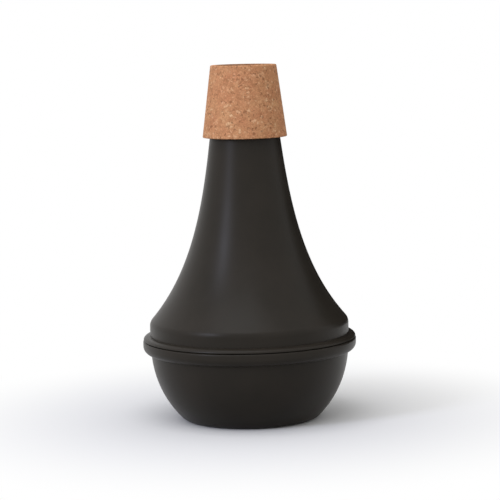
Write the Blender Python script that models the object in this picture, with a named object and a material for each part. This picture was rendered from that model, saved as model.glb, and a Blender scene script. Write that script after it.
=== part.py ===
"""Trumpet practice mute: a moulded bowl and a moulded cone that push together, with a cork sleeve on the neck.

Run with blender --background --python part.py, or from the text editor.
Units are metres and +Z is up. The origin is the centre of the flat underside, on the mute's axis.
The cone and all that it holds lift off the bowl along the axis.
"""

import math

import bmesh
import bpy
from mathutils import Vector
from mathutils.geometry import interpolate_bezier

MM = 0.001

# Driving dimensions: what shows outside
HEIGHT = 171.0 * MM
CORK_LENGTH = 34.5 * MM
CORK_TOP_RADIUS = 15.85 * MM
CORK_FOOT_RADIUS = 20.35 * MM
CORK_EDGE = 0.7 * MM
NECK_RADIUS_AT_CORK_FOOT = 16.9 * MM
NECK_SLOPE = math.radians(7.2)
NECK_PULL = 35.1 * MM
FLARE_SLOPE = math.radians(49.5)
FLARE_PULL = 30.1 * MM
SHOULDER_RADIUS = 48.1 * MM
SHOULDER_TOP = 46.0 * MM
CORNER_WIDTH = 3.1 * MM
CORNER_HEIGHT = 4.0 * MM
CORNER_TURN = math.radians(50.0)
RING_RADIUS = 51.6 * MM
RING_FOOT = 32.7 * MM
RING_TOP = 41.4 * MM
RING_LOWER_ROUND = 3.7 * MM
RING_LIP_ROUND = 0.35 * MM
UPPER_LIP_STEP = 0.25 * MM
SEAM_HEIGHT = 39.3 * MM
BOWL_RADIUS = 47.8 * MM
BOWL_TOP_SLOPE = math.radians(5.0)
BOWL_PULL = 11.2 * MM
BOWL_SIDE_SLOPE = math.radians(48.2)
BASE_RADIUS = 28.6 * MM
BASE_EDGE_RADIUS = 35.5 * MM
BASE_EDGE_HEIGHT = 3.3 * MM
BASE_EDGE_PULL = 3.8 * MM

# Driving dimensions: what holds the pieces together
WALL = 2.5 * MM
GAP = 0.3 * MM
SEAM_GAP = 0.4 * MM
SOCKET_RADIUS = SHOULDER_RADIUS - WALL
SPIGOT_CLEARANCE = 0.4 * MM
SPIGOT_WALL = 3.0 * MM
SPIGOT_TOP = 46.5 * MM
SPIGOT_CHAMFER = 0.6 * MM
SEAL_HEIGHT = 42.6 * MM
SEAL_SECTION_RADIUS = 0.8 * MM
SEAL_GROOVE_HEIGHT = 2.2 * MM
NECK_RECESS = 0.6 * MM

# Driving dimensions: the inside
BAFFLE_THICKNESS = 1.7 * MM
BAFFLE_HOLE_RADIUS = 2.5 * MM
BAFFLE_ROWS = ((20.0 * MM, 10), (31.0 * MM, 16))
GROMMET_WALL = 2.7 * MM
GROMMET_LIP = 2.2 * MM
GROMMET_LIP_HEIGHT = 1.6 * MM
THROAT_RADIUS = 6.0 * MM
THROAT_WALL = 0.8 * MM
THROAT_FOOT = 34.0 * MM
THROAT_SEAT = 8.3 * MM
INSERT_LENGTH = 13.0 * MM
INSERT_MOUTH_RADIUS = 8.4 * MM
INSERT_MOUTH_DEPTH = 4.0 * MM
CONE_FELT_HEIGHT = 12.0 * MM
CONE_FELT_BORE = 13.0 * MM
BOWL_FELT_RADIUS = 29.0 * MM
BOWL_FELT_HEIGHT = 7.0 * MM
FELT_EDGE = 1.2 * MM
VENT_HOLE_RADIUS = 6.3 * MM
VENT_RADIUS = 3.0 * MM
VENT_WALL = 0.6 * MM
VENT_TOP = 26.0 * MM
BUSH_FOOT = 0.5 * MM
BUSH_FLANGE_RADIUS = 9.2 * MM
BUSH_FLANGE_HEIGHT = 1.8 * MM
BUSH_TOP = 9.0 * MM
BUSH_LIP_HEIGHT = 1.0 * MM
BUSH_HUB_WALL = 1.8 * MM

# How finely the turned pieces are divided
SHELL_SIDES = 40
SMALL_SIDES = 24
SEAL_SIDES = 8
DRILL_SIDES = 8
ROUND_STEPS = 4
BOWL_STEPS = 9
FLARE_STEPS = 11
SMOOTH_ANGLE = math.radians(35.0)

CORK_FOOT = HEIGHT - CORK_LENGTH
NECK_TOP = HEIGHT - NECK_RECESS
NECK_TOP_RADIUS = NECK_RADIUS_AT_CORK_FOOT - (NECK_TOP - CORK_FOOT) * math.tan(NECK_SLOPE)
CONE_FLANGE_FOOT = SEAM_HEIGHT + SEAM_GAP / 2
BOWL_FLANGE_TOP = SEAM_HEIGHT - SEAM_GAP / 2
SPIGOT_RADIUS = SOCKET_RADIUS - SPIGOT_CLEARANCE
SPIGOT_BORE = SPIGOT_RADIUS - SPIGOT_WALL
BAFFLE_FOOT = SPIGOT_TOP + GAP
BAFFLE_TOP = BAFFLE_FOOT + BAFFLE_THICKNESS
BAFFLE_BORE = THROAT_RADIUS + GAP + GROMMET_WALL
LEDGE_HEIGHT = BAFFLE_TOP + GAP
THROAT_TOP = HEIGHT - THROAT_SEAT
FLOOR_HEIGHT = WALL


def curve(start, start_slope, start_pull, end, end_slope, end_pull, steps):
    """Points of a smooth run between two points, given the direction and pull of each end."""
    start = Vector((start[0], start[1], 0))
    end = Vector((end[0], end[1], 0))
    leave = start + Vector((math.cos(start_slope), math.sin(start_slope), 0)) * start_pull
    arrive = end - Vector((math.cos(end_slope), math.sin(end_slope), 0)) * end_pull
    return [(p.x, p.y) for p in interpolate_bezier(start, leave, arrive, end, steps)]


def arc(centre_r, centre_z, radius_r, radius_z, from_angle, to_angle, steps):
    """Points of part of an ellipse in the half plane of radius and height."""
    points = []
    for step in range(steps + 1):
        angle = from_angle + (to_angle - from_angle) * step / steps
        points.append((centre_r + radius_r * math.cos(angle), centre_z + radius_z * math.sin(angle)))
    return points


def inset(points, distance):
    """The same run of points moved to its left, seen along the run."""
    moved = []
    for index, point in enumerate(points):
        before = Vector(points[max(index - 1, 0)])
        after = Vector(points[min(index + 1, len(points) - 1)])
        along = (after - before).normalized()
        moved.append((point[0] - along.y * distance, point[1] + along.x * distance))
    return moved


def bowl_side():
    """The bowl's outside, from the edge of its flat base up to the foot of the ring."""
    edge = curve((BASE_RADIUS, 0.0), 0.0, BASE_EDGE_PULL,
                 (BASE_EDGE_RADIUS, BASE_EDGE_HEIGHT), BOWL_SIDE_SLOPE, BASE_EDGE_PULL, ROUND_STEPS)
    side = curve((BASE_EDGE_RADIUS, BASE_EDGE_HEIGHT), BOWL_SIDE_SLOPE, BOWL_PULL,
                 (BOWL_RADIUS, RING_FOOT), math.pi / 2 - BOWL_TOP_SLOPE, BOWL_PULL, BOWL_STEPS)
    return edge + side[1:]


def cone_side():
    """The cone's outside, from the shoulder corner up the flare to the neck under the cork."""
    corner = arc(SHOULDER_RADIUS - CORNER_WIDTH, SHOULDER_TOP, CORNER_WIDTH, CORNER_HEIGHT,
                 0.0, CORNER_TURN, ROUND_STEPS)
    flare = curve(corner[-1], math.pi - FLARE_SLOPE, FLARE_PULL,
                  (NECK_RADIUS_AT_CORK_FOOT, CORK_FOOT), math.pi / 2 + NECK_SLOPE, NECK_PULL,
                  FLARE_STEPS)
    return corner + flare[1:] + [(NECK_TOP_RADIUS, NECK_TOP)]


def inside_radius(points, height):
    """The radius of a run of points at a height."""
    for (r0, z0), (r1, z1) in zip(points, points[1:]):
        if min(z0, z1) <= height <= max(z0, z1) and z0 != z1:
            return r0 + (r1 - r0) * (height - z0) / (z1 - z0)
    raise ValueError(f"no point of the run is at height {height}")


def material(name, colour, roughness, metallic=0.0):
    """A Principled material of one colour."""
    made = bpy.data.materials.new(name)
    made.use_nodes = True
    shader = made.node_tree.nodes["Principled BSDF"]
    shader.inputs["Base Color"].default_value = (*colour, 1.0)
    shader.inputs["Roughness"].default_value = roughness
    shader.inputs["Metallic"].default_value = metallic
    return made


def turned(name, section, finish, sides, parent):
    """A solid turned round the Z axis from a closed section, with its origin at its own foot."""
    foot = min(z for r, z in section)
    shape = bmesh.new()
    corners = [shape.verts.new((r, 0.0, z - foot)) for r, z in section]
    edges = [shape.edges.new((a, b)) for a, b in zip(corners, corners[1:] + corners[:1])]
    bmesh.ops.spin(shape, geom=corners + edges, cent=(0, 0, 0), axis=(0, 0, 1),
                   angle=2 * math.pi, steps=sides, use_merge=True)
    bmesh.ops.recalc_face_normals(shape, faces=shape.faces)
    mesh = bpy.data.meshes.new(name)
    shape.to_mesh(mesh)
    shape.free()
    mesh.materials.append(finish)
    mesh.shade_smooth()
    mesh.set_sharp_from_angle(angle=SMOOTH_ANGLE)
    piece = bpy.data.objects.new(name, mesh)
    bpy.context.collection.objects.link(piece)
    piece.parent = parent
    piece.location = (0, 0, foot - parent.location.z)
    return piece


def empty(name, height):
    """An empty on the mute's axis, which carries one half of the mute."""
    made = bpy.data.objects.new(name, None)
    made.location = (0, 0, height)
    bpy.context.collection.objects.link(made)
    return made


def bowl_shell(parent, finish):
    """The lower moulding: base, bowl, the lower part of the ring, and the spigot that enters the cone."""
    outside = bowl_side()
    lower_round = arc(BOWL_RADIUS, RING_FOOT + RING_LOWER_ROUND, RING_RADIUS - BOWL_RADIUS,
                      RING_LOWER_ROUND, -math.pi / 2, 0.0, ROUND_STEPS)
    ring = lower_round[1:]
    ring += [(RING_RADIUS, BOWL_FLANGE_TOP - RING_LIP_ROUND), (RING_RADIUS - RING_LIP_ROUND, BOWL_FLANGE_TOP)]
    groove_bottom = SPIGOT_RADIUS - 2 * SEAL_SECTION_RADIUS - SPIGOT_CLEARANCE / 2
    spigot = [
        (SPIGOT_RADIUS, BOWL_FLANGE_TOP),
        (SPIGOT_RADIUS, SEAL_HEIGHT - SEAL_GROOVE_HEIGHT / 2),
        (groove_bottom, SEAL_HEIGHT - SEAL_GROOVE_HEIGHT / 2),
        (groove_bottom, SEAL_HEIGHT + SEAL_GROOVE_HEIGHT / 2),
        (SPIGOT_RADIUS, SEAL_HEIGHT + SEAL_GROOVE_HEIGHT / 2),
        (SPIGOT_RADIUS, SPIGOT_TOP - SPIGOT_CHAMFER),
        (SPIGOT_RADIUS - SPIGOT_CHAMFER, SPIGOT_TOP),
        (SPIGOT_BORE, SPIGOT_TOP),
    ]
    inner_side = [p for p in inset(outside, WALL) if p[0] < SPIGOT_BORE]
    inside = [(SPIGOT_BORE, RING_FOOT)] + inner_side[::-1]
    section = outside + ring + spigot + inside
    section += [(VENT_HOLE_RADIUS, FLOOR_HEIGHT), (VENT_HOLE_RADIUS, 0.0)]
    return turned("bowl_shell", section, finish, SHELL_SIDES, parent)


def joint_seal(parent, finish):
    """The rubber ring in the spigot's groove, which holds the two halves together and airtight."""
    centre = SPIGOT_RADIUS - SEAL_SECTION_RADIUS + SPIGOT_CLEARANCE / 4
    section = arc(centre, SEAL_HEIGHT, SEAL_SECTION_RADIUS, SEAL_SECTION_RADIUS, 0.0, 2 * math.pi, SEAL_SIDES)
    return turned("joint_seal", section[:-1], finish, SHELL_SIDES, parent)


def bowl_felt(parent, finish):
    """The felt disc on the floor of the bowl, round the vent."""
    foot = FLOOR_HEIGHT + GAP
    bore = BUSH_FLANGE_RADIUS + 2 * GAP
    top = foot + BOWL_FELT_HEIGHT
    section = [
        (bore, foot),
        (BOWL_FELT_RADIUS, foot),
        (BOWL_FELT_RADIUS, top - FELT_EDGE),
        (BOWL_FELT_RADIUS - FELT_EDGE, top),
        (bore + FELT_EDGE, top),
        (bore, top - FELT_EDGE),
    ]
    return turned("bowl_felt", section, finish, SMALL_SIDES, parent)


def vent_bush(parent, finish):
    """The bush in the base, which carries the vent tube and stops it from dropping out."""
    body = VENT_HOLE_RADIUS - GAP
    flange_foot = FLOOR_HEIGHT + GAP
    seat = VENT_RADIUS + GAP
    hub = seat + BUSH_HUB_WALL
    section = [
        (VENT_RADIUS - VENT_WALL, BUSH_FOOT),
        (body, BUSH_FOOT),
        (body, flange_foot),
        (BUSH_FLANGE_RADIUS, flange_foot),
        (BUSH_FLANGE_RADIUS, flange_foot + BUSH_FLANGE_HEIGHT),
        (hub, flange_foot + BUSH_FLANGE_HEIGHT),
        (hub, BUSH_TOP),
        (seat, BUSH_TOP),
        (seat, BUSH_FOOT + BUSH_LIP_HEIGHT),
        (VENT_RADIUS - VENT_WALL, BUSH_FOOT + BUSH_LIP_HEIGHT),
    ]
    return turned("vent_bush", section, finish, SMALL_SIDES, parent)


def tube(name, radius, wall, foot, top, finish, parent):
    """A plain thin tube on the mute's axis."""
    section = [(radius - wall, foot), (radius, foot), (radius, top), (radius - wall, top)]
    return turned(name, section, finish, SMALL_SIDES, parent)


def cone_shell(parent, finish):
    """The upper moulding: socket, the lip on top of the ring, shoulder, flare and neck."""
    outside = cone_side()
    lip_radius = RING_RADIUS - UPPER_LIP_STEP
    lip_round = arc(SHOULDER_RADIUS, CONE_FLANGE_FOOT, lip_radius - SHOULDER_RADIUS,
                    RING_TOP - CONE_FLANGE_FOOT, 0.0, math.pi / 2, ROUND_STEPS)
    inner = [p for p in inset(outside, WALL) if p[1] > LEDGE_HEIGHT and p[1] < NECK_TOP - WALL / 2]
    ledge_radius = inside_radius(inset(outside, WALL), LEDGE_HEIGHT)
    section = [(SOCKET_RADIUS + SPIGOT_CHAMFER, CONE_FLANGE_FOOT)]
    section += lip_round
    section += outside
    section += [(NECK_TOP_RADIUS - WALL, NECK_TOP)]
    section += inner[::-1]
    section += [(ledge_radius, LEDGE_HEIGHT), (SOCKET_RADIUS, LEDGE_HEIGHT)]
    section += [(SOCKET_RADIUS, CONE_FLANGE_FOOT + SPIGOT_CHAMFER)]
    return turned("cone_shell", section, finish, SHELL_SIDES, parent)


def cork_sleeve(parent, finish):
    """The tapered cork sleeve, glued round the neck, which seats in the bell."""
    side_slope = (CORK_FOOT_RADIUS - CORK_TOP_RADIUS) / CORK_LENGTH
    neck_slope = math.tan(NECK_SLOPE)
    foot_bore = NECK_RADIUS_AT_CORK_FOOT + GAP
    section = [
        (foot_bore, CORK_FOOT),
        (CORK_FOOT_RADIUS - CORK_EDGE, CORK_FOOT),
        (CORK_FOOT_RADIUS - CORK_EDGE * side_slope, CORK_FOOT + CORK_EDGE),
        (CORK_TOP_RADIUS + CORK_EDGE * side_slope, HEIGHT - CORK_EDGE),
        (CORK_TOP_RADIUS - CORK_EDGE, HEIGHT),
        (foot_bore - CORK_LENGTH * neck_slope, HEIGHT),
    ]
    return turned("cork_sleeve", section, finish, SHELL_SIDES, parent)


def throat_insert(parent, finish):
    """The collar wedged in the neck from below, with a funnel mouth and a seat for the throat tube."""
    foot = NECK_TOP - INSERT_LENGTH
    slope = math.tan(NECK_SLOPE)
    top_radius = NECK_TOP_RADIUS - WALL - GAP
    seat = THROAT_RADIUS + GAP
    section = [
        (seat, foot),
        (top_radius + INSERT_LENGTH * slope, foot),
        (top_radius, NECK_TOP),
        (INSERT_MOUTH_RADIUS, NECK_TOP),
        (THROAT_RADIUS - THROAT_WALL, NECK_TOP - INSERT_MOUTH_DEPTH),
        (THROAT_RADIUS - THROAT_WALL, THROAT_TOP + GAP),
        (seat, THROAT_TOP + GAP),
    ]
    return turned("throat_insert", section, finish, SMALL_SIDES, parent)


def baffle_plate(parent, finish):
    """The round plate across the chamber, with rings of holes, clamped between ledge and spigot."""
    section = [
        (BAFFLE_BORE + GAP, BAFFLE_FOOT),
        (SOCKET_RADIUS - GAP, BAFFLE_FOOT),
        (SOCKET_RADIUS - GAP, BAFFLE_TOP),
        (BAFFLE_BORE + GAP, BAFFLE_TOP),
    ]
    plate = turned("baffle_plate", section, finish, SHELL_SIDES, parent)
    drills = bmesh.new()
    for row_radius, count in BAFFLE_ROWS:
        for index in range(count):
            angle = 2 * math.pi * index / count
            made = bmesh.ops.create_cone(drills, cap_ends=True, cap_tris=False, segments=DRILL_SIDES,
                                         radius1=BAFFLE_HOLE_RADIUS, radius2=BAFFLE_HOLE_RADIUS,
                                         depth=3 * BAFFLE_THICKNESS)
            offset = (row_radius * math.cos(angle), row_radius * math.sin(angle), BAFFLE_THICKNESS / 2)
            bmesh.ops.translate(drills, verts=made["verts"], vec=offset)
    mesh = bpy.data.meshes.new("baffle_drills")
    drills.to_mesh(mesh)
    drills.free()
    cutter = bpy.data.objects.new("baffle_drills", mesh)
    bpy.context.collection.objects.link(cutter)
    cutter.parent = plate
    cutter.hide_render = True
    cutter.display_type = "WIRE"
    holes = plate.modifiers.new("holes", "BOOLEAN")
    holes.operation = "DIFFERENCE"
    holes.object = cutter
    return plate


def tube_grommet(parent, finish):
    """The rubber grommet in the middle of the baffle, which holds the foot of the throat tube still."""
    bore = THROAT_RADIUS + GAP
    waist = BAFFLE_BORE
    lip = waist + GROMMET_LIP
    section = [
        (bore, BAFFLE_FOOT - GAP - GROMMET_LIP_HEIGHT),
        (lip - GAP, BAFFLE_FOOT - GAP - GROMMET_LIP_HEIGHT),
        (lip, BAFFLE_FOOT - GAP),
        (waist, BAFFLE_FOOT - GAP),
        (waist, BAFFLE_TOP + GAP),
        (lip, BAFFLE_TOP + GAP),
        (lip - GAP, BAFFLE_TOP + GAP + GROMMET_LIP_HEIGHT),
        (bore, BAFFLE_TOP + GAP + GROMMET_LIP_HEIGHT),
    ]
    return turned("tube_grommet", section, finish, SMALL_SIDES, parent)


def cone_felt(parent, finish):
    """The felt ring on top of the baffle, which fills the foot of the flare round the throat tube."""
    inner = inset(cone_side(), WALL + 2 * GAP)
    foot = BAFFLE_TOP + GAP
    top = foot + CONE_FELT_HEIGHT
    side = [(min(inside_radius(inner, z), SOCKET_RADIUS - WALL), z)
            for z in (foot, foot + CONE_FELT_HEIGHT / 2, top)]
    section = [(CONE_FELT_BORE, foot)] + side + [(CONE_FELT_BORE, top)]
    return turned("cone_felt", section, finish, SHELL_SIDES, parent)


def main():
    """Clears the scene and builds the two halves of the mute."""
    for old in list(bpy.data.objects):
        bpy.data.objects.remove(old)

    moulded = material("black_moulded_plastic", (0.022, 0.020, 0.018), 0.42)
    cork = material("pressed_cork", (0.50, 0.23, 0.12), 0.85)
    felt = material("grey_felt", (0.12, 0.12, 0.12), 0.95)
    rubber = material("black_rubber", (0.015, 0.015, 0.015), 0.6)
    metal = material("drawn_aluminium", (0.75, 0.75, 0.76), 0.35, 1.0)
    nylon = material("black_nylon", (0.03, 0.03, 0.03), 0.55)

    bowl = empty("bowl_axis", 0.0)
    bowl_shell(bowl, moulded)
    joint_seal(bowl, rubber)
    bowl_felt(bowl, felt)
    vent_bush(bowl, nylon)
    tube("vent_tube", VENT_RADIUS, VENT_WALL, BUSH_FOOT + BUSH_LIP_HEIGHT + GAP, VENT_TOP, metal, bowl)

    cone = empty("cone_lift_axis", SEAM_HEIGHT)
    cone_shell(cone, moulded)
    cork_sleeve(cone, cork)
    throat_insert(cone, nylon)
    tube("throat_tube", THROAT_RADIUS, THROAT_WALL, THROAT_FOOT, THROAT_TOP, metal, cone)
    baffle_plate(cone, nylon)
    tube_grommet(cone, rubber)
    cone_felt(cone, felt)


main()
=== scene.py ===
"""Dresses the trumpet mute: fine meshes, procedural finishes, a plain studio and the photograph's camera.

Sizes are in metres. Heights and outer radii come from the frame's boxes where these give them, and what a
box can't give is a field of the sub-assembly that needs it. Everything is turned round the mute's axis, Z.
"""

import logging
import math
from dataclasses import dataclass, field
from enum import Enum
from typing import Any, Protocol

import bmesh
import bpy
from mathutils import Euler, Matrix, Vector, noise
from mathutils.geometry import interpolate_bezier


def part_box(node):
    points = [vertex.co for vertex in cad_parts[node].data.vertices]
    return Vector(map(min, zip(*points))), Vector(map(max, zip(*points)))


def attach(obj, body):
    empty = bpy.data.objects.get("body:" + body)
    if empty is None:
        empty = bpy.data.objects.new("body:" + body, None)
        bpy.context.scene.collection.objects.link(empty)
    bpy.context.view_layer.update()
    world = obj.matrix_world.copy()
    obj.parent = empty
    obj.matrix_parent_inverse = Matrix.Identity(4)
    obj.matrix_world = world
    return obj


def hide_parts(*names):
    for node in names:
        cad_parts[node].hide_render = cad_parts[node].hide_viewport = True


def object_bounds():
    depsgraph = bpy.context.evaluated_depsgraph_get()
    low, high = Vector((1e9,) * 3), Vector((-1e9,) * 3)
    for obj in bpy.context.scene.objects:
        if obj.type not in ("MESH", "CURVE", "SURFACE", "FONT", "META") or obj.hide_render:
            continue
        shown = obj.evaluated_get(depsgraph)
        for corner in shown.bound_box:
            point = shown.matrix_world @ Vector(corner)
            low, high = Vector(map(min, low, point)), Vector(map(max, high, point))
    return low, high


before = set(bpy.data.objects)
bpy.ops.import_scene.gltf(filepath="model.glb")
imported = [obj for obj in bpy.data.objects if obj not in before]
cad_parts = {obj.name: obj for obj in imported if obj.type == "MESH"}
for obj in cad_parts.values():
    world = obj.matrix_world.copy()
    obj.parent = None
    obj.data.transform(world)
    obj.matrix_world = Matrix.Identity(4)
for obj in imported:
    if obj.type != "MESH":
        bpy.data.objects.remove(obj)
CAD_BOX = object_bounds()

LOG = logging.getLogger("mute")
MM = 0.001
# The room between two pieces that are glued or pressed together.
GAP = 0.3 * MM
# The neck's outside, which the cork sleeve and the throat collar follow.
NECK_RADIUS_AT_CORK = 16.9 * MM
NECK_SLOPE = math.radians(7.2)
ROUNDING_SEGMENTS = 5
MERGE_DISTANCE = 0.001 * MM

Point = tuple[float, float]
Sockets = dict[str | int, Any]


class Body(Enum):
    """The two halves that the mute comes apart into."""

    BOWL = "bowl"
    CONE = "cone"


class Slot(Enum):
    """The material slots of the record."""

    MOULDED = "moulded_plastic"
    CORK = "cork"
    FELT = "felt"
    RUBBER = "seal_rubber"
    NYLON = "nylon"
    TUBE = "aluminium_tube"


class Steps(Enum):
    """How finely a piece is divided round the axis."""

    LARGE = 256
    SMALL = 96


def linear(colour: str) -> tuple[float, float, float, float]:
    """Turns an sRGB hex colour to linear light.

    Args:
        colour: The colour as "#rrggbb".

    Returns:
        Linear red, green and blue, and an alpha of 1.
    """
    parts = [int(colour[start:start + 2], 16) / 255 for start in (1, 3, 5)]
    red, green, blue = (p / 12.92 if p <= 0.04045 else ((p + 0.055) / 1.055) ** 2.4 for p in parts)
    return red, green, blue, 1.0


def add_node(tree: bpy.types.NodeTree, kind: str, inputs: Sockets | None = None,
             stops: list[tuple[float, str]] | None = None, **settings: Any) -> bpy.types.Node:
    """Adds one node with its settings and links.

    Args:
        tree: The node tree that gets the node.
        kind: Blender's name for the node's type.
        inputs: For each input, a value, or the output that is linked to it.
        stops: Positions and sRGB hex colours of a colour ramp.
        **settings: The node's own settings.

    Returns:
        The new node.
    """
    node = tree.nodes.new(kind)
    for name, value in settings.items():
        setattr(node, name, value)
    for key, value in (inputs or {}).items():
        if isinstance(value, bpy.types.NodeSocket):
            tree.links.new(value, node.inputs[key])
        else:
            node.inputs[key].default_value = value
    if stops:
        elements = node.color_ramp.elements
        while len(elements) < len(stops):
            elements.new(1.0)
        for element, (position, colour) in zip(elements, stops):
            element.position = position
            element.color = linear(colour)
    return node


class Finish(Protocol):
    """What every finish offers: its material."""

    def material(self) -> bpy.types.Material:
        """Makes the material."""


@dataclass
class Surface:
    """A new material with its shader, ready for the nodes of one finish."""

    name: str
    made: bpy.types.Material = field(init=False)

    def __post_init__(self) -> None:
        """Makes the material and finds its shader and its object coordinates."""
        self.made = bpy.data.materials.new(self.name)
        self.made.use_nodes = True
        self.tree = self.made.node_tree
        self.shader = self.tree.nodes["Principled BSDF"]
        self.place = add_node(self.tree, "ShaderNodeTexCoord").outputs["Object"]

    def add(self, kind: str, inputs: Sockets | None = None, **settings: Any) -> bpy.types.Node:
        """Adds a node to this material's tree."""
        return add_node(self.tree, kind, inputs, **settings)

    def feed(self, **inputs: Any) -> None:
        """Sets or links the shader's inputs, named in lower case with underscores.

        Args:
            **inputs: A value or an output for each input.
        """
        names = {socket.name.lower().replace(" ", "_"): socket for socket in self.shader.inputs}
        for name, value in inputs.items():
            if isinstance(value, bpy.types.NodeSocket):
                self.tree.links.new(value, names[name])
            else:
                names[name].default_value = value


@dataclass(frozen=True)
class MouldedAbs:
    """ABS from a spark-textured mould: near black, warm, with a satin sheen that is not quite even."""

    colour: str = "#2a2620"
    worn_colour: str = "#302b25"
    smooth: float = 0.33
    rough: float = 0.41
    patch_size: float = 22.0 * MM
    # The mould's texture is about 0.1 mm, too fine to show, so it is drawn at 0.6 mm.
    grain_size: float = 0.6 * MM
    grain_depth: float = 0.006 * MM

    def material(self) -> bpy.types.Material:
        """Makes the material.

        Returns:
            The material with its nodes.
        """
        surface = Surface("spark_textured_black_abs")
        patches = surface.add("ShaderNodeTexNoise", {"Vector": surface.place, "Scale": 1 / self.patch_size,
                                                     "Detail": 3.0, "Roughness": 0.55})
        grain = surface.add("ShaderNodeTexNoise", {"Vector": surface.place, "Scale": 1 / self.grain_size,
                                                   "Detail": 2.0})
        tint = surface.add("ShaderNodeValToRGB", {"Fac": patches.outputs["Fac"]},
                           stops=[(0.35, self.colour), (0.75, self.worn_colour)])
        gloss = surface.add("ShaderNodeMapRange", {"Value": patches.outputs["Fac"], "From Min": 0.3,
                                                   "From Max": 0.7, "To Min": self.smooth,
                                                   "To Max": self.rough})
        bump = surface.add("ShaderNodeBump", {"Height": grain.outputs["Fac"], "Distance": self.grain_depth})
        surface.feed(base_color=tint.outputs["Color"], roughness=gloss.outputs["Result"],
                     normal=bump.outputs["Normal"], ior=1.54, specular_ior_level=0.13)
        return surface.made


@dataclass(frozen=True)
class PressedCork:
    """Ground cork pressed with a binder and sanded: tan granules of many shades, with small dark pits."""

    granule_size: float = 1.05 * MM
    speck_size: float = 0.85 * MM
    cloud_size: float = 7.0 * MM
    pit_depth: float = 0.09 * MM

    def material(self) -> bpy.types.Material:
        """Makes the material.

        Returns:
            The material with its nodes.
        """
        surface = Surface("sanded_pressed_cork")
        wander = surface.add("ShaderNodeTexNoise", {"Vector": surface.place, "Scale": 1 / self.granule_size,
                                                    "Detail": 2.0})
        bent = surface.add("ShaderNodeVectorMath", {0: wander.outputs["Color"], 1: (0.5, 0.5, 0.5)},
                           operation="SUBTRACT")
        shift = surface.add("ShaderNodeVectorMath", {0: bent.outputs["Vector"],
                                                     "Scale": 1.1 * self.granule_size}, operation="SCALE")
        bent_place = surface.add("ShaderNodeVectorMath", {0: surface.place, 1: shift.outputs["Vector"]},
                                 operation="ADD").outputs["Vector"]
        granules = surface.add("ShaderNodeTexVoronoi", {"Vector": bent_place, "Scale": 1 / self.granule_size,
                                                        "Randomness": 1.0}, feature="F1")
        walls = surface.add("ShaderNodeTexVoronoi", {"Vector": bent_place, "Scale": 1 / self.granule_size,
                                                     "Randomness": 1.0}, feature="DISTANCE_TO_EDGE")
        shade = surface.add("ShaderNodeSeparateColor", {"Color": granules.outputs["Color"]})
        clouds = surface.add("ShaderNodeTexNoise", {"Vector": surface.place, "Scale": 1 / self.cloud_size,
                                                    "Detail": 3.0})
        tan = surface.add("ShaderNodeValToRGB", {"Fac": shade.outputs["Red"]},
                          stops=[(0.0, "#c58a60"), (0.14, "#d4966a"), (0.5, "#dd9d70"), (0.82, "#e3a577"),
                                 (0.93, "#ecb386"), (1.0, "#f5c294")])
        clouded = surface.add("ShaderNodeMix", {"Factor": 0.25, "A": tan.outputs["Color"],
                                                "B": clouds.outputs["Fac"]},
                              data_type="RGBA", blend_type="OVERLAY")
        specks = surface.add("ShaderNodeTexVoronoi", {"Vector": bent_place, "Scale": 1 / self.speck_size,
                                                      "Randomness": 1.0}, feature="F1")
        speck_shade = surface.add("ShaderNodeSeparateColor", {"Color": specks.outputs["Color"]})
        dark = surface.add("ShaderNodeMapRange", {"Value": speck_shade.outputs["Green"], "From Min": 0.90,
                                                  "From Max": 0.94, "To Min": 0.0, "To Max": 0.45})
        bark = surface.add("ShaderNodeMix", {"Factor": dark.outputs["Result"], "A": clouded.outputs["Result"],
                                             "B": linear("#6d4023")}, data_type="RGBA")
        seam = surface.add("ShaderNodeMapRange", {"Value": walls.outputs["Distance"], "From Min": 0.0,
                                                  "From Max": 0.10, "To Min": 0.34, "To Max": 0.0})
        glued = surface.add("ShaderNodeMix", {"Factor": seam.outputs["Result"], "A": bark.outputs["Result"],
                                              "B": linear("#8a5636")}, data_type="RGBA")
        pits = surface.add("ShaderNodeMapRange", {"Value": walls.outputs["Distance"], "From Min": 0.0,
                                                  "From Max": 0.16})
        bump = surface.add("ShaderNodeBump", {"Height": pits.outputs["Result"], "Distance": self.pit_depth,
                                              "Strength": 0.8})
        surface.feed(base_color=glued.outputs["Result"], roughness=0.82, normal=bump.outputs["Normal"],
                     ior=1.45, specular_ior_level=0.3)
        return surface.made


@dataclass(frozen=True)
class PressedFelt:
    """Pressed wool felt: matt, slightly mottled, with a faint sheen of loose fibres."""

    colour: str = "#4a4a4c"
    pale_colour: str = "#66666a"
    fibre_size: float = 0.8 * MM
    fibre_depth: float = 0.12 * MM

    def material(self) -> bpy.types.Material:
        """Makes the material.

        Returns:
            The material with its nodes.
        """
        surface = Surface("pressed_grey_wool_felt")
        fibres = surface.add("ShaderNodeTexNoise", {"Vector": surface.place, "Scale": 1 / self.fibre_size,
                                                    "Detail": 6.0, "Roughness": 0.7, "Distortion": 1.2})
        tint = surface.add("ShaderNodeValToRGB", {"Fac": fibres.outputs["Fac"]},
                           stops=[(0.35, self.colour), (0.68, self.pale_colour)])
        bump = surface.add("ShaderNodeBump", {"Height": fibres.outputs["Fac"], "Distance": self.fibre_depth})
        surface.feed(base_color=tint.outputs["Color"], roughness=0.95, normal=bump.outputs["Normal"],
                     sheen_weight=0.35, sheen_roughness=0.5)
        return surface.made


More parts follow.
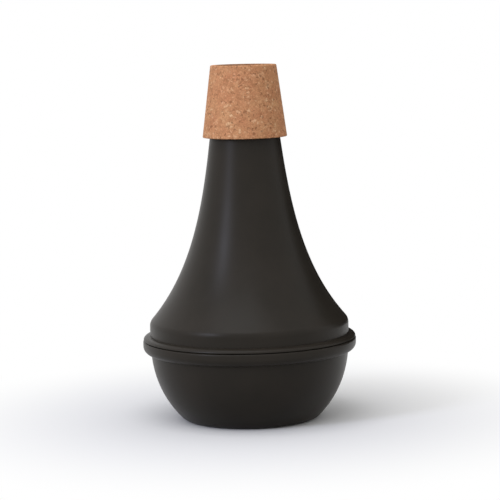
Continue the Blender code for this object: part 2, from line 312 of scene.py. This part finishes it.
@dataclass(frozen=True)
class MouldedRubber:
    """Nitrile rubber: matt black with a grey bloom."""

    colour: str = "#1d1d1e"
    bloom: str = "#2b2b2d"
    bloom_size: float = 3.0 * MM

    def material(self) -> bpy.types.Material:
        """Makes the material.

        Returns:
            The material with its nodes.
        """
        surface = Surface("moulded_nitrile_rubber")
        cloud = surface.add("ShaderNodeTexNoise", {"Vector": surface.place, "Scale": 1 / self.bloom_size,
                                                   "Detail": 4.0})
        tint = surface.add("ShaderNodeValToRGB", {"Fac": cloud.outputs["Fac"]},
                           stops=[(0.4, self.colour), (0.7, self.bloom)])
        bump = surface.add("ShaderNodeBump", {"Height": cloud.outputs["Fac"], "Distance": 0.02 * MM})
        surface.feed(base_color=tint.outputs["Color"], roughness=0.6, normal=bump.outputs["Normal"], ior=1.52)
        return surface.made


@dataclass(frozen=True)
class MouldedNylon:
    """Moulded nylon: dark, slightly waxy, with faint flow marks."""

    colour: str = "#302f2e"
    flow_colour: str = "#3a3937"
    flow_size: float = 9.0 * MM

    def material(self) -> bpy.types.Material:
        """Makes the material.

        Returns:
            The material with its nodes.
        """
        surface = Surface("moulded_black_nylon")
        flow = surface.add("ShaderNodeTexNoise", {"Vector": surface.place, "Scale": 1 / self.flow_size,
                                                  "Detail": 4.0, "Distortion": 0.8})
        tint = surface.add("ShaderNodeValToRGB", {"Fac": flow.outputs["Fac"]},
                           stops=[(0.4, self.colour), (0.65, self.flow_colour)])
        gloss = surface.add("ShaderNodeMapRange", {"Value": flow.outputs["Fac"], "To Min": 0.45,
                                                   "To Max": 0.6})
        surface.feed(base_color=tint.outputs["Color"], roughness=gloss.outputs["Result"], ior=1.53)
        return surface.made


@dataclass(frozen=True)
class DrawnAluminium:
    """Drawn aluminium tube: bright and clean, with fine lines along its length."""

    colour: str = "#c9cacc"
    line_width: float = 0.35 * MM
    line_length: float = 40.0 * MM

    def material(self) -> bpy.types.Material:
        """Makes the material.

        Returns:
            The material with its nodes.
        """
        surface = Surface("drawn_aluminium_tube")
        stretch = surface.add("ShaderNodeMapping", {"Vector": surface.place,
                                                    "Scale": (1.0, 1.0, self.line_width / self.line_length)})
        lines = surface.add("ShaderNodeTexNoise", {"Vector": stretch.outputs["Vector"],
                                                   "Scale": 1 / self.line_width, "Detail": 3.0})
        gloss = surface.add("ShaderNodeMapRange", {"Value": lines.outputs["Fac"], "To Min": 0.24,
                                                   "To Max": 0.42})
        bump = surface.add("ShaderNodeBump", {"Height": lines.outputs["Fac"], "Distance": 0.004 * MM})
        surface.feed(base_color=linear(self.colour), metallic=1.0, roughness=gloss.outputs["Result"],
                     normal=bump.outputs["Normal"])
        return surface.made


@dataclass
class Section:
    """A closed outline in the half plane of radius and height, drawn anticlockwise, ready to be turned."""

    points: list[Point] = field(default_factory=list)
    roundings: dict[int, float] = field(default_factory=dict)

    def corner(self, radius: float, height: float, rounding: float = 0.0) -> "Section":
        """Adds one corner.

        Args:
            radius: The corner's distance from the axis.
            height: Its height.
            rounding: How far from the corner its rounding starts, or 0 for a sharp one.

        Returns:
            This section.
        """
        if rounding:
            self.roundings[len(self.points)] = rounding
        self.points.append((radius, height))
        return self

    def run(self, points: list[Point]) -> "Section":
        """Adds a run of points."""
        self.points += points
        return self

    def turned(self, steps: Steps) -> bmesh.types.BMesh:
        """Rounds the corners and turns the outline a full circle.

        Args:
            steps: How finely it is divided round the axis.

        Returns:
            The closed mesh.
        """
        shape = bmesh.new()
        verts = [shape.verts.new((radius, 0.0, height)) for radius, height in self.points]
        for pair in zip(verts, verts[1:] + verts[:1]):
            shape.edges.new(pair)
        for rounding in sorted(set(self.roundings.values())):
            alike = [verts[index] for index, size in self.roundings.items() if size == rounding]
            bmesh.ops.bevel(shape, geom=alike, offset=rounding, offset_type="OFFSET",
                            segments=ROUNDING_SEGMENTS, profile=0.5, affect="VERTICES", material=-1)
        bmesh.ops.spin(shape, geom=shape.verts[:] + shape.edges[:], cent=(0, 0, 0), axis=(0, 0, 1),
                       angle=math.tau, steps=steps.value, use_merge=True)
        bmesh.ops.remove_doubles(shape, verts=shape.verts[:], dist=MERGE_DISTANCE)
        bmesh.ops.recalc_face_normals(shape, faces=shape.faces[:])
        return shape


def bend(start: Point, start_slope: float, start_pull: float, end: Point, end_slope: float, end_pull: float,
         steps: int) -> list[Point]:
    """Works out a smooth run between two points of an outline.

    Args:
        start: Radius and height of its first point.
        start_slope: The run's direction there, as an angle.
        start_pull: How far that direction is kept.
        end: Radius and height of its last point.
        end_slope: The direction at the end.
        end_pull: How far before the end that direction begins.
        steps: The number of points.

    Returns:
        The points, the first and the last included.
    """
    first, last = Vector((*start, 0)), Vector((*end, 0))
    leave = first + Vector((math.cos(start_slope), math.sin(start_slope), 0)) * start_pull
    arrive = last - Vector((math.cos(end_slope), math.sin(end_slope), 0)) * end_pull
    return [(p.x, p.y) for p in interpolate_bezier(first, leave, arrive, last, steps)]


def arc(centre: Point, radii: Point, start: float, end: float, steps: int) -> list[Point]:
    """Works out part of an ellipse in the plane of an outline.

    Args:
        centre: Radius and height of its centre.
        radii: Its half width and half height.
        start: The first angle.
        end: The last angle.
        steps: The number of stretches.

    Returns:
        The points, the first and the last included.
    """
    angles = [start + (end - start) * step / steps for step in range(steps + 1)]
    return [(centre[0] + radii[0] * math.cos(a), centre[1] + radii[1] * math.sin(a)) for a in angles]


def inward(points: list[Point], distance: float) -> list[Point]:
    """Moves a run of points to its left, as the inner side of a wall.

    Args:
        points: The outer side, drawn upwards.
        distance: The wall's thickness.

    Returns:
        The moved points in the same order.
    """
    moved = []
    for index, (radius, height) in enumerate(points):
        before = Vector(points[max(index - 1, 0)])
        after = Vector(points[min(index + 1, len(points) - 1)])
        along = (after - before).normalized()
        moved.append((radius - along.y * distance, height + along.x * distance))
    return moved


def radius_at(points: list[Point], height: float) -> float:
    """Finds the radius of a run of points at a height.

    Args:
        points: The run.
        height: The height.

    Returns:
        The radius there, or at the nearer end outside the run's heights.
    """
    for (r0, z0), (r1, z1) in zip(points, points[1:]):
        if min(z0, z1) <= height <= max(z0, z1) and z0 != z1:
            return r0 + (r1 - r0) * (height - z0) / (z1 - z0)
    return min(points, key=lambda point: abs(point[1] - height))[0]


def sink(shape: bmesh.types.BMesh, depth: float, size: float, outside: float = 0.0) -> None:
    """Moves a mesh's vertices inwards by uneven amounts, as a soft or sanded surface has them.

    Args:
        shape: The mesh.
        depth: The most that a vertex moves.
        size: The length of the unevenness.
        outside: Vertices nearer to the axis than this stay.
    """
    shape.normal_update()
    for vert in shape.verts:
        if math.hypot(vert.co.x, vert.co.y) > outside:
            share = 0.5 + 0.5 * noise.noise(vert.co / size)
            vert.co -= vert.normal * depth * share


def drilled(plate: bmesh.types.BMesh, drills: bmesh.types.BMesh) -> bmesh.types.BMesh:
    """Cuts one mesh out of another.

    Args:
        plate: The mesh that is cut, which is freed.
        drills: The mesh that is taken away, which is freed.

    Returns:
        The cut mesh.
    """
    objects = []
    for shape in (plate, drills):
        mesh = bpy.data.meshes.new("cut")
        shape.to_mesh(mesh)
        shape.free()
        made = bpy.data.objects.new("cut", mesh)
        bpy.context.collection.objects.link(made)
        objects.append(made)
    body, cutter = objects
    modifier = body.modifiers.new("holes", "BOOLEAN")
    modifier.operation = "DIFFERENCE"
    modifier.object = cutter
    cut = bmesh.new()
    cut.from_object(body, bpy.context.evaluated_depsgraph_get())
    for made in objects:
        bpy.data.objects.remove(made)
    return cut


@dataclass(frozen=True)
class Piece:
    """One piece of the mute: its name, the node that it stands for, its body, slot and finish."""

    name: str
    node: str
    body: Body
    slot: Slot
    finish: Finish
    sharp_angle: float = math.radians(38)

    def finished(self, shape: bmesh.types.BMesh) -> bpy.types.Object:
        """Makes the object from its mesh, dresses it and hands it to the frame.

        Args:
            shape: The mesh, which is freed.

        Returns:
            The object.
        """
        mesh = bpy.data.meshes.new(self.name)
        shape.to_mesh(mesh)
        shape.free()
        mesh.materials.append(self.finish.material())
        mesh.shade_smooth()
        mesh.set_sharp_from_angle(angle=self.sharp_angle)
        made = bpy.data.objects.new(self.name, mesh)
        bpy.context.collection.objects.link(made)
        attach(made, self.body.value)
        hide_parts(self.node)
        LOG.info("%s stands for %s, %d faces", self.name, self.node, len(mesh.polygons))
        return made


@dataclass
class ConeShell:
    """The upper moulding: socket, upper lip of the ring, shoulder, flare and neck."""

    wall: float = 2.5 * MM
    shoulder_radius: float = 48.1 * MM
    shoulder_top: float = 46.0 * MM
    corner_width: float = 3.1 * MM
    corner_height: float = 4.0 * MM
    corner_turn: float = math.radians(50.0)
    corner_steps: int = 10
    lip_top: float = 41.4 * MM
    lip_steps: int = 8
    flare_slope: float = math.radians(49.5)
    flare_pull: float = 30.1 * MM
    flare_steps: int = 40
    neck_pull: float = 35.1 * MM
    rim_edge: float = 0.5 * MM
    rim_inner_edge: float = 0.4 * MM
    socket_chamfer: float = 0.6 * MM

    def __post_init__(self) -> None:
        """Reads the places from the frame."""
        low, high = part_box("cone_shell")
        self.foot = low.z
        self.neck_top = high.z
        self.lip_radius = high.x
        self.cork_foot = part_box("cork_sleeve")[0].z
        self.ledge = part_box("baffle_plate")[1].z + GAP
        self.neck_top_radius = (NECK_RADIUS_AT_CORK
                                - (self.neck_top - self.cork_foot) * math.tan(NECK_SLOPE))

    def outside(self) -> list[Point]:
        """Works out the outer side, from the shoulder corner up to the rim of the neck.

        Returns:
            Its points, upwards.
        """
        corner = arc((self.shoulder_radius - self.corner_width, self.shoulder_top),
                     (self.corner_width, self.corner_height), 0.0, self.corner_turn, self.corner_steps)
        flare = bend(corner[-1], math.pi - self.flare_slope, self.flare_pull,
                     (NECK_RADIUS_AT_CORK, self.cork_foot), math.pi / 2 + NECK_SLOPE,
                     self.neck_pull, self.flare_steps)
        return corner + flare[1:] + [(self.neck_top_radius, self.neck_top)]

    def section(self) -> Section:
        """Works out the moulding's outline.

        Returns:
            The closed outline.
        """
        socket_radius = self.shoulder_radius - self.wall
        outside = self.outside()
        inside = inward(outside, self.wall)
        inner = [p for p in inside if self.ledge < p[1] < self.neck_top - self.wall / 2]
        lip_size = (self.lip_radius - self.shoulder_radius, self.lip_top - self.foot)
        lip = arc((self.shoulder_radius, self.foot), lip_size, 0.0, math.pi / 2, self.lip_steps)
        made = Section()
        made.corner(socket_radius + self.socket_chamfer, self.foot)
        made.run(lip[:-1]).corner(*lip[-1])
        made.run(outside[:-1])
        made.corner(*outside[-1], self.rim_edge)
        made.corner(self.neck_top_radius - self.wall, self.neck_top, self.rim_inner_edge)
        made.run(inner[::-1])
        made.corner(radius_at(inside, self.ledge), self.ledge)
        made.corner(socket_radius, self.ledge)
        made.corner(socket_radius, self.foot + self.socket_chamfer)
        return made

    def build(self) -> None:
        """Makes the moulding."""
        piece = Piece("cone_moulding", "cone_shell", Body.CONE, Slot.MOULDED, MouldedAbs())
        piece.finished(self.section().turned(Steps.LARGE))


@dataclass
class BowlShell:
    """The lower moulding: base, bowl, lower part of the ring, and the spigot that enters the cone."""

    wall: float = 2.5 * MM
    base_radius: float = 28.6 * MM
    edge_radius: float = 35.5 * MM
    edge_height: float = 3.3 * MM
    edge_pull: float = 3.8 * MM
    edge_steps: int = 9
    side_slope: float = math.radians(48.2)
    side_pull: float = 11.2 * MM
    side_steps: int = 24
    top_slope: float = math.radians(5.0)
    bowl_radius: float = 47.8 * MM
    ring_foot: float = 32.7 * MM
    ring_round: float = 3.7 * MM
    ring_round_steps: int = 10
    ring_lip: float = 0.85 * MM
    seam: float = 0.4 * MM
    spigot_radius: float = 45.2 * MM
    spigot_wall: float = 3.0 * MM
    spigot_edge: float = 0.6 * MM
    groove_height: float = 2.2 * MM
    seal_clearance: float = 0.1 * MM
    vent_hole_radius: float = 6.3 * MM
    bore_edge: float = 0.3 * MM

    def __post_init__(self) -> None:
        """Reads the places from the frame."""
        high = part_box("bowl_shell")[1]
        self.spigot_top = high.z
        self.ring_radius = high.x
        self.flange_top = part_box("cone_shell")[0].z - self.seam
        seal_low, seal_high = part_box("joint_seal")
        self.seal_height = (seal_low.z + seal_high.z) / 2
        self.groove_bottom = seal_high.x - (seal_high.z - seal_low.z) - self.seal_clearance

    def outside(self) -> list[Point]:
        """Works out the outer side, from the edge of the flat base up to the foot of the ring.

        Returns:
            Its points, upwards.
        """
        edge = bend((self.base_radius, 0.0), 0.0, self.edge_pull, (self.edge_radius, self.edge_height),
                    self.side_slope, self.edge_pull, self.edge_steps)
        side = bend((self.edge_radius, self.edge_height), self.side_slope, self.side_pull,
                    (self.bowl_radius, self.ring_foot), math.pi / 2 - self.top_slope, self.side_pull,
                    self.side_steps)
        return edge + side[1:]

    def section(self) -> Section:
        """Works out the moulding's outline.

        Returns:
            The closed outline.
        """
        outside = self.outside()
        bore = self.spigot_radius - self.spigot_wall
        swell = arc((self.bowl_radius, self.ring_foot + self.ring_round),
                    (self.ring_radius - self.bowl_radius, self.ring_round), -math.pi / 2, 0.0,
                    self.ring_round_steps)
        inner = [p for p in inward(outside, self.wall) if p[0] < bore]
        groove = (self.seal_height - self.groove_height / 2, self.seal_height + self.groove_height / 2)
        made = Section()
        made.run(outside)
        made.run(swell[1:])
        made.corner(self.ring_radius, self.flange_top, self.ring_lip)
        made.corner(self.spigot_radius, self.flange_top)
        made.corner(self.spigot_radius, groove[0])
        made.corner(self.groove_bottom, groove[0])
        made.corner(self.groove_bottom, groove[1])
        made.corner(self.spigot_radius, groove[1])
        made.corner(self.spigot_radius, self.spigot_top, self.spigot_edge)
        made.corner(bore, self.spigot_top, self.bore_edge)
        made.corner(bore, self.ring_foot)
        made.run(inner[::-1])
        made.corner(self.vent_hole_radius, self.wall, self.bore_edge)
        made.corner(self.vent_hole_radius, 0.0, self.bore_edge)
        return made

    def build(self) -> None:
        """Makes the moulding."""
        piece = Piece("bowl_moulding", "bowl_shell", Body.BOWL, Slot.MOULDED, MouldedAbs())
        piece.finished(self.section().turned(Steps.LARGE))


@dataclass
class CorkSleeve:
    """The tapered cork sleeve, glued round the neck."""

    top_radius: float = 15.85 * MM
    foot_radius: float = 20.35 * MM
    edge: float = 0.45 * MM
    rows: int = 70
    waver: float = 0.07 * MM
    waver_size: float = 1.3 * MM

    def __post_init__(self) -> None:
        """Reads the places from the frame."""
        low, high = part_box("cork_sleeve")
        self.foot = low.z
        self.top = high.z

    def section(self) -> Section:
        """Works out the sleeve's outline, with rows fine enough to carry the granules' unevenness.

        Returns:
            The closed outline.
        """
        length = self.top - self.foot
        bore = NECK_RADIUS_AT_CORK + GAP
        made = Section()
        made.corner(bore, self.foot)
        made.corner(self.foot_radius, self.foot, self.edge)
        for row in range(2, self.rows - 1):
            share = row / self.rows
            made.corner(self.foot_radius + (self.top_radius - self.foot_radius) * share,
                        self.foot + length * share)
        made.corner(self.top_radius, self.top, self.edge)
        made.corner(bore - length * math.tan(NECK_SLOPE), self.top)
        return made

    def build(self) -> None:
        """Makes the sleeve, and lets its outside waver a little inwards as sanded granules do."""
        shape = self.section().turned(Steps.LARGE)
        sink(shape, self.waver, self.waver_size, self.top_radius - self.edge)
        Piece("cork_collar", "cork_sleeve", Body.CONE, Slot.CORK, PressedCork()).finished(shape)


@dataclass
class FeltPads:
    """The felt ring above the baffle and the felt disc on the bowl's floor."""

    rounding: float = 1.6 * MM
    foot_rounding: float = 0.3 * MM
    ring_bore: float = 13.0 * MM
    waver: float = 0.25 * MM
    waver_size: float = 9.0 * MM
    longest_edge: float = 3.0 * MM
    cuts: int = 5
    fill: float = 0.9

    def pad(self, piece: Piece, section: Section) -> None:
        """Makes one pad with soft, slightly uneven faces that stay inside its solid.

        Args:
            piece: The pad's name and place in the model.
            section: Its outline.
        """
        shape = section.turned(Steps.LARGE)
        long_edges = [edge for edge in shape.edges if edge.calc_length() > self.longest_edge]
        bmesh.ops.subdivide_edges(shape, edges=long_edges, cuts=self.cuts, use_grid_fill=True)
        sink(shape, self.waver, self.waver_size)
        piece.finished(shape)

    def build(self, cone: ConeShell) -> None:
        """Makes both pads.

        Args:
            cone: The moulding that the upper pad fills.
        """
        low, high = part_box("bowl_felt")
        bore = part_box("vent_bush")[1].x + 2 * GAP
        disc = Section()
        disc.corner(bore, low.z, self.foot_rounding).corner(high.x, low.z, self.foot_rounding)
        disc.corner(high.x, high.z, self.rounding).corner(bore, high.z, self.rounding)
        self.pad(Piece("bowl_pad", "bowl_felt", Body.BOWL, Slot.FELT, PressedFelt()), disc)

        low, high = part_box("cone_felt")
        inner = inward(cone.outside(), cone.wall + 2 * GAP)
        limit = cone.shoulder_radius - 2 * cone.wall
        middle = (low.z + high.z) / 2
        side = [min(radius_at(inner, height), limit) for height in (low.z, middle, high.z)]
        ring = Section()
        ring.corner(self.ring_bore, low.z, self.foot_rounding).corner(side[0], low.z, self.foot_rounding)
        ring.corner(side[1], middle)
        ring.corner(side[2], high.z, self.rounding).corner(self.ring_bore, high.z, self.rounding)
        self.pad(Piece("cone_pad", "cone_felt", Body.CONE, Slot.FELT, PressedFelt()), ring)


@dataclass
class InnerFittings:
    """The throat, the baffle and the vent: tubes, bushes, plate, grommet and seal."""

    throat_wall: float = 0.8 * MM
    vent_wall: float = 0.6 * MM
    tube_edge: float = 0.15 * MM
    mouth_radius: float = 8.4 * MM
    mouth_depth: float = 4.0 * MM
    mouth_rounding: float = 1.0 * MM
    crisp_edge: float = 0.2 * MM
    broken_edge: float = 0.3 * MM
    grommet_wall: float = 2.7 * MM
    grommet_rounding: float = 0.7 * MM
    grommet_bore_edge: float = 0.4 * MM
    bush_body_radius: float = 6.0 * MM
    bush_bore_edge: float = 0.25 * MM
    bush_flange: float = 1.8 * MM
    bush_flange_edge: float = 0.5 * MM
    hub_wall: float = 1.8 * MM
    hub_edge: float = 0.4 * MM
    seal_sides: int = 20
    hole_sides: int = 32
    hole_radius: float = 2.5 * MM
    hole_rows: tuple[tuple[float, int], ...] = ((20.0 * MM, 10), (31.0 * MM, 16))

    def tube(self, piece: Piece, wall: float) -> None:
        """Makes a plain tube where its node is, with broken edges.

        Args:
            piece: The tube's name and place in the model.
            wall: Its thickness.
        """
        low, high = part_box(piece.node)
        made = Section()
        for radius, height in ((high.x - wall, low.z), (high.x, low.z), (high.x, high.z),
                               (high.x - wall, high.z)):
            made.corner(radius, height, self.tube_edge)
        piece.finished(made.turned(Steps.SMALL))

    def collar(self) -> None:
        """Makes the collar in the neck, with its funnel mouth and the seat of the throat tube."""
        low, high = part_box("throat_insert")
        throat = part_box("throat_tube")[1]
        seat = throat.x + GAP
        bore = throat.x - self.throat_wall
        top_radius = high.x - (high.z - low.z) * math.tan(NECK_SLOPE)
        made = Section()
        made.corner(seat, low.z, self.crisp_edge).corner(high.x, low.z, self.broken_edge)
        made.corner(top_radius, high.z, self.broken_edge)
        made.corner(self.mouth_radius, high.z, self.mouth_rounding)
        made.corner(bore, high.z - self.mouth_depth, self.mouth_rounding)
        made.corner(bore, throat.z + GAP).corner(seat, throat.z + GAP)
        piece = Piece("throat_collar", "throat_insert", Body.CONE, Slot.NYLON, MouldedNylon())
        piece.finished(made.turned(Steps.SMALL))

    def bush(self) -> None:
        """Makes the bush in the base, which carries the vent tube."""
        low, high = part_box("vent_bush")
        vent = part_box("vent_tube")
        flange_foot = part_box("bowl_felt")[0].z
        seat = vent[1].x + GAP
        bore = vent[1].x - self.vent_wall
        made = Section()
        made.corner(bore, low.z, self.bush_bore_edge)
        made.corner(self.bush_body_radius, low.z, self.broken_edge)
        made.corner(self.bush_body_radius, flange_foot).corner(high.x, flange_foot, self.crisp_edge)
        made.corner(high.x, flange_foot + self.bush_flange, self.bush_flange_edge)
        made.corner(seat + self.hub_wall, flange_foot + self.bush_flange)
        made.corner(seat + self.hub_wall, high.z, self.hub_edge).corner(seat, high.z, self.broken_edge)
        made.corner(seat, vent[0].z - GAP).corner(bore, vent[0].z - GAP)
        piece = Piece("vent_plug", "vent_bush", Body.BOWL, Slot.NYLON, MouldedNylon())
        piece.finished(made.turned(Steps.SMALL))

    def baffle(self) -> None:
        """Makes the round plate across the chamber and drills its two rings of holes."""
        low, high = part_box("baffle_plate")
        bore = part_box("throat_tube")[1].x + 2 * GAP + self.grommet_wall
        made = Section()
        made.corner(bore, low.z, self.crisp_edge).corner(high.x, low.z, self.broken_edge)
        made.corner(high.x, high.z, self.broken_edge).corner(bore, high.z, self.crisp_edge)
        drills = bmesh.new()
        for row_radius, count in self.hole_rows:
            for index in range(count):
                turn = Matrix.Rotation(math.tau * index / count, 4, "Z")
                place = turn @ Matrix.Translation((row_radius, 0.0, (low.z + high.z) / 2))
                bmesh.ops.create_cone(drills, cap_ends=True, cap_tris=False, segments=self.hole_sides,
                                      radius1=self.hole_radius, radius2=self.hole_radius,
                                      depth=4 * (high.z - low.z), matrix=place)
        piece = Piece("baffle_disc", "baffle_plate", Body.CONE, Slot.NYLON, MouldedNylon())
        piece.finished(drilled(made.turned(Steps.LARGE), drills))

    def grommet(self) -> None:
        """Makes the rubber grommet between the baffle and the throat tube."""
        low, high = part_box("tube_grommet")
        plate_low, plate_high = (corner.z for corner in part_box("baffle_plate"))
        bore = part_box("throat_tube")[1].x + GAP
        waist = bore + self.grommet_wall
        made = Section()
        made.corner(bore, low.z, self.grommet_bore_edge).corner(high.x, low.z, self.grommet_rounding)
        made.corner(high.x, plate_low - GAP, self.broken_edge).corner(waist, plate_low - GAP)
        made.corner(waist, plate_high + GAP).corner(high.x, plate_high + GAP, self.broken_edge)
        made.corner(high.x, high.z, self.grommet_rounding).corner(bore, high.z, self.grommet_bore_edge)
        piece = Piece("foot_grommet", "tube_grommet", Body.CONE, Slot.RUBBER, MouldedRubber())
        piece.finished(made.turned(Steps.SMALL))

    def seal(self) -> None:
        """Makes the rubber ring in the spigot's groove."""
        low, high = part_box("joint_seal")
        section_radius = (high.z - low.z) / 2
        centre = (high.x - section_radius, (low.z + high.z) / 2)
        circle = arc(centre, (section_radius, section_radius), 0.0, math.tau, self.seal_sides)[:-1]
        piece = Piece("seal_ring", "joint_seal", Body.BOWL, Slot.RUBBER, MouldedRubber())
        piece.finished(Section(circle).turned(Steps.LARGE))

    def build(self) -> None:
        """Makes all the fittings."""
        self.collar()
        self.tube(Piece("throat_pipe", "throat_tube", Body.CONE, Slot.TUBE, DrawnAluminium()),
                  self.throat_wall)
        self.baffle()
        self.grommet()
        self.seal()
        self.bush()
        self.tube(Piece("vent_pipe", "vent_tube", Body.BOWL, Slot.TUBE, DrawnAluminium()), self.vent_wall)


def seen_directly(tree: bpy.types.NodeTree) -> bpy.types.NodeSocket:
    """Tells where the camera, a reflection or a transmission looks.

    Args:
        tree: The node tree that asks.

    Returns:
        An output that is 1 for those rays and 0 for the light that falls on things.
    """
    path = add_node(tree, "ShaderNodeLightPath")
    either = add_node(tree, "ShaderNodeMath", {0: path.outputs["Is Camera Ray"],
                                               1: path.outputs["Is Glossy Ray"]}, operation="MAXIMUM")
    return add_node(tree, "ShaderNodeMath", {0: either.outputs["Value"],
                                             1: path.outputs["Is Transmission Ray"]},
                    operation="MAXIMUM").outputs["Value"]


@dataclass(frozen=True)
class SoftLight:
    """One rectangular soft light of the studio."""

    name: str
    place: tuple[float, float, float]
    size: tuple[float, float]
    power: float
    colour: str

    def build(self, target: Vector) -> None:
        """Makes the light and aims it.

        Args:
            target: The point that it faces.
        """
        lamp = bpy.data.lights.new(self.name, "AREA")
        lamp.shape = "RECTANGLE"
        lamp.size, lamp.size_y = self.size
        lamp.energy = self.power
        lamp.color = linear(self.colour)[:3]
        made = bpy.data.objects.new(self.name, lamp)
        made.location = self.place
        made.rotation_euler = (target - made.location).to_track_quat("-Z", "Y").to_euler()
        bpy.context.collection.objects.link(made)


@dataclass
class Studio:
    """A plain white floor and background, soft lights, and the camera at the photograph's angle."""

    floor_radius: float = 3.0
    shadow_radius: float = 0.06
    clear_radius: float = 0.18
    sky_level: float = 0.6
    card_radius: float = 0.5
    card_sweep: tuple[float, float] = (math.radians(20.0), math.radians(92.0))
    card_sides: int = 48
    floor_sides: int = 96
    camera_place: tuple[float, float, float] = (1.2 * MM, -1000.0 * MM, 198.0 * MM)
    camera_pitch: float = math.radians(6.634)
    camera_roll: float = math.radians(1.321)
    lens: float = 150.0
    film_width: float = 36.0
    nearest_seen: float = 50.0 * MM
    lights: tuple[SoftLight, ...] = (
        SoftLight("window", (-0.92, -0.76, 0.62), (0.26, 0.5), 5.0, "#e2e7ff"),
        SoftLight("top", (-0.25, -0.55, 1.5), (1.3, 1.0), 7.0, "#fbfbff"),
    )

    def dark_card(self) -> None:
        """Makes the dark card behind the mute's right side, part of a dome that only reflections meet."""
        shape = bmesh.new()
        bmesh.ops.create_uvsphere(shape, u_segments=self.card_sides, v_segments=self.card_sides // 2,
                                  radius=self.card_radius)
        start, end = self.card_sweep
        for normal in (Vector((-math.sin(start), math.cos(start), 0)),
                       Vector((math.sin(end), -math.cos(end), 0)), Vector((0, 0, 1))):
            bmesh.ops.bisect_plane(shape, geom=shape.verts[:] + shape.edges[:] + shape.faces[:],
                                   plane_co=(0, 0, 0), plane_no=-normal, clear_outer=True)
        mesh = bpy.data.meshes.new("dark_card")
        shape.to_mesh(mesh)
        shape.free()
        made = bpy.data.materials.new("black_velvet")
        made.use_nodes = True
        shader = made.node_tree.nodes["Principled BSDF"]
        shader.inputs["Base Color"].default_value = linear("#101010")
        shader.inputs["Roughness"].default_value = 1.0
        mesh.materials.append(made)
        card = bpy.data.objects.new("dark_card", mesh)
        card.visible_camera = False
        card.visible_diffuse = False
        card.visible_shadow = False
        card.visible_transmission = False
        bpy.context.collection.objects.link(card)

    def floor(self) -> None:
        """Makes the floor: matt white near the mute, where its shadow falls, and plain white further out."""
        shape = bmesh.new()
        bmesh.ops.create_circle(shape, cap_ends=True, segments=self.floor_sides, radius=self.floor_radius)
        mesh = bpy.data.meshes.new("floor")
        shape.to_mesh(mesh)
        shape.free()
        made = bpy.data.materials.new("matt_white_paper")
        made.use_nodes = True
        tree = made.node_tree
        place = add_node(tree, "ShaderNodeTexCoord").outputs["Object"]
        distance = add_node(tree, "ShaderNodeVectorMath", {0: place}, operation="LENGTH")
        clear = add_node(tree, "ShaderNodeMapRange", {"Value": distance.outputs["Value"],
                                                      "From Min": self.shadow_radius,
                                                      "From Max": self.clear_radius},
                         interpolation_type="SMOOTHSTEP")
        seen = seen_directly(tree)
        plain = add_node(tree, "ShaderNodeMath", {0: clear.outputs["Result"], 1: seen}, operation="MULTIPLY")
        white = add_node(tree, "ShaderNodeEmission", {"Color": linear("#ffffff"), "Strength": 1.0})
        shader = tree.nodes["Principled BSDF"]
        bounced = add_node(tree, "ShaderNodeMix", {"Factor": seen, "A": linear("#8c8c8c"),
                                                   "B": linear("#f7f7f7")}, data_type="RGBA")
        tree.links.new(bounced.outputs["Result"], shader.inputs["Base Color"])
        shader.inputs["Roughness"].default_value = 0.9
        shader.inputs["Specular IOR Level"].default_value = 0.0
        mixed = add_node(tree, "ShaderNodeMixShader", {0: plain.outputs["Value"], 1: shader.outputs["BSDF"],
                                                       2: white.outputs["Emission"]})
        tree.links.new(mixed.outputs["Shader"], tree.nodes["Material Output"].inputs["Surface"])
        mesh.materials.append(made)
        floor = bpy.data.objects.new("floor", mesh)
        bpy.context.collection.objects.link(floor)

    def sky(self) -> None:
        """Makes the world: a plain low light, seen as white by the camera and in reflections."""
        world = bpy.data.worlds.new("studio")
        bpy.context.scene.world = world
        world.use_nodes = True
        tree = world.node_tree
        background = tree.nodes["Background"]
        background.inputs["Color"].default_value = linear("#ffffff")
        level = add_node(tree, "ShaderNodeMapRange", {"Value": seen_directly(tree), "To Min": self.sky_level,
                                                      "To Max": 1.0})
        tree.links.new(level.outputs["Result"], background.inputs["Strength"])

    def camera(self) -> None:
        """Makes the camera, which looks slightly down and leans a little."""
        data = bpy.data.cameras.new("camera")
        data.lens = self.lens
        data.sensor_width = self.film_width
        data.clip_start = self.nearest_seen
        made = bpy.data.objects.new("camera", data)
        tilt = Euler((math.pi / 2 - self.camera_pitch, 0.0, 0.0)).to_matrix()
        lean = Matrix.Rotation(-self.camera_roll, 3, "Z")
        made.matrix_world = Matrix.Translation(self.camera_place) @ (tilt @ lean).to_4x4()
        bpy.context.collection.objects.link(made)
        bpy.context.scene.camera = made

    def build(self) -> None:
        """Makes the whole studio."""
        bpy.context.scene.view_settings.view_transform = "Standard"
        self.camera()
        self.floor()
        self.dark_card()
        self.sky()
        low, high = CAD_BOX
        for light in self.lights:
            light.build((low + high) / 2)
        LOG.info("studio with %d lights", len(self.lights))


def main() -> None:
    """Builds the studio and every sub-assembly in order."""
    logging.basicConfig(level=logging.INFO, format="%(name)s: %(message)s")
    Studio().build()
    cone = ConeShell()
    cone.build()
    BowlShell().build()
    CorkSleeve().build()
    FeltPads().build(cone)
    InnerFittings().build()


if __name__ == "__main__":
    main()
